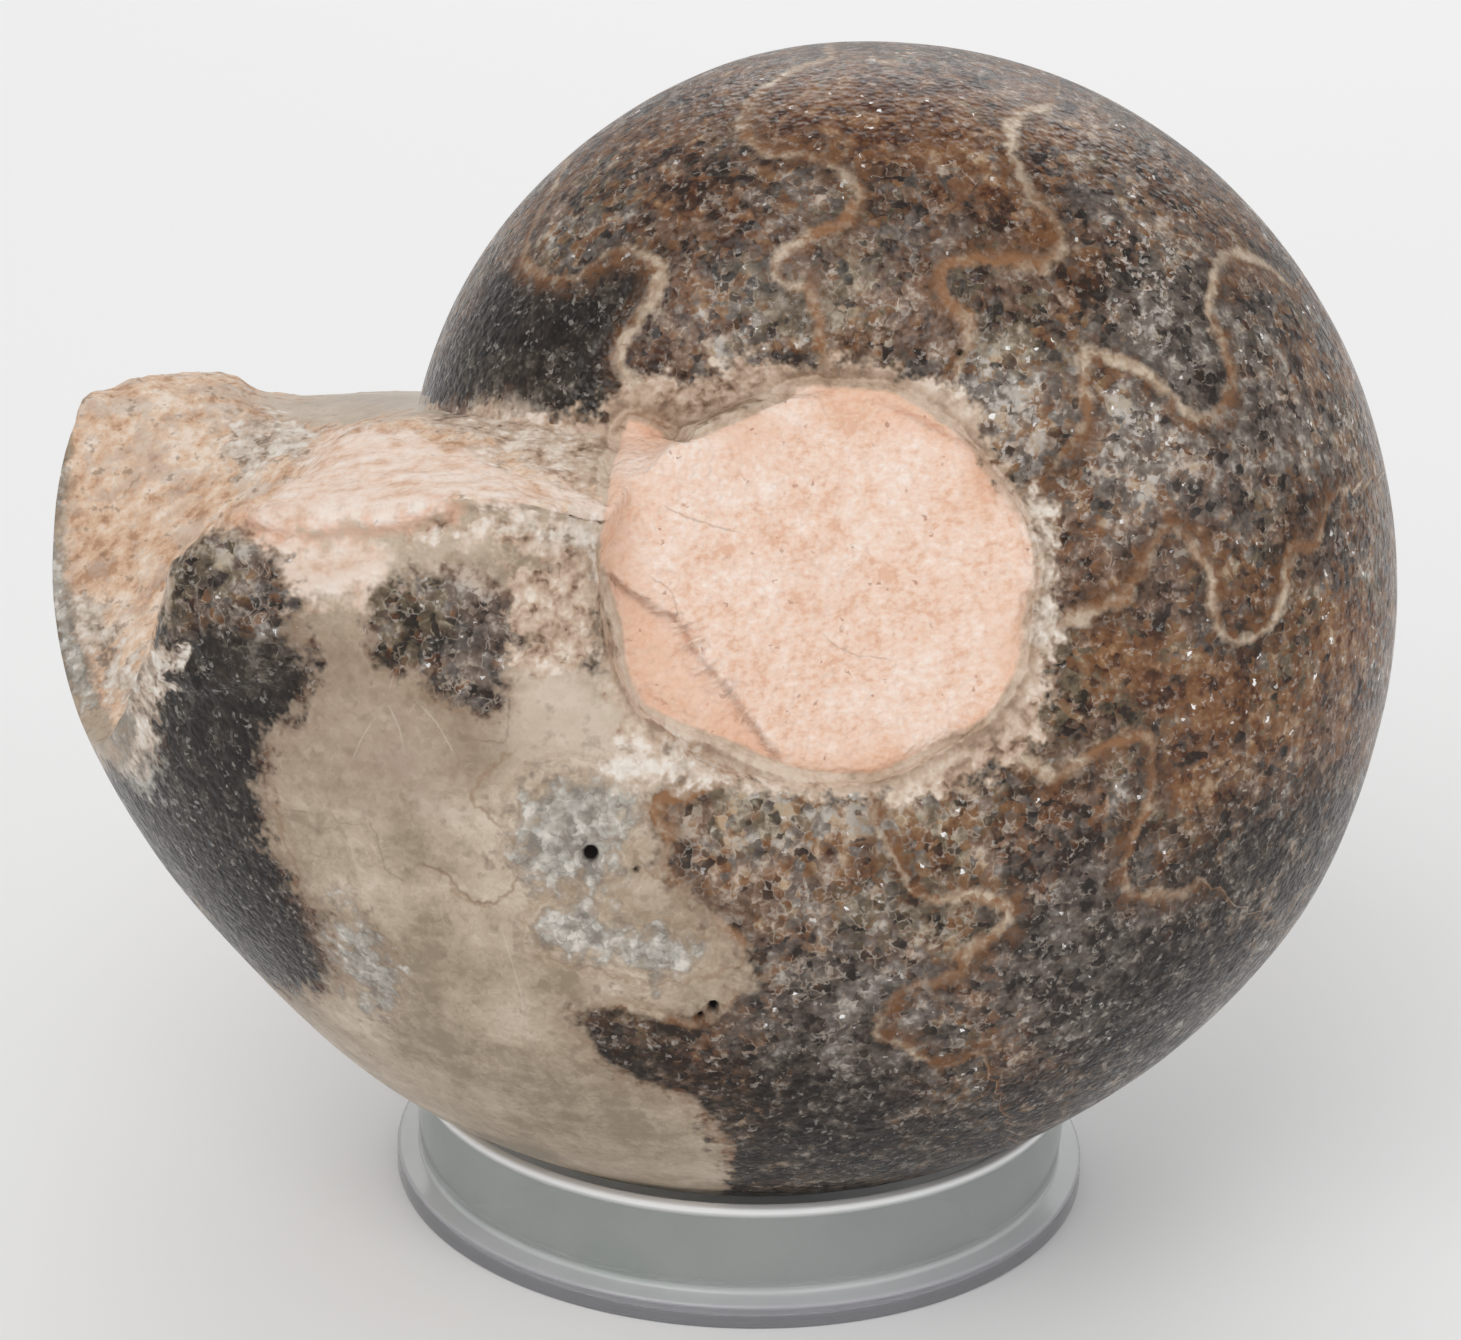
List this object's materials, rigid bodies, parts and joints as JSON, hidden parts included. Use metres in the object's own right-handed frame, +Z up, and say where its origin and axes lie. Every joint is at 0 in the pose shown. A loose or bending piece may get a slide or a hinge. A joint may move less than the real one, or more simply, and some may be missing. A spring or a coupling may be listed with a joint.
{
  "type": "fossil ammonite on a ring stand",
  "caption": "Globular polished fossil ammonite with a matrix-filled umbilicus and a broken open end, resting coil upright on a low clear plastic ring stand.",
  "frame": {"origin": "under the middle of the bounding box, on the surface that the stand rests on", "axes": "+X to the right along the coil's width, with the open end at -X; +Y away from the front; +Z up"},
  "size_m": [0.0936, 0.0684, 0.0827],
  "materials": {
    "stone": "polished calcite and matrix, satin",
    "clear_plastic": "clear moulded acrylic"
  },
  "bodies": {
    "root": {"ammonite": "stone", "ring_stand": "clear_plastic"}
  },
  "joints": []
}
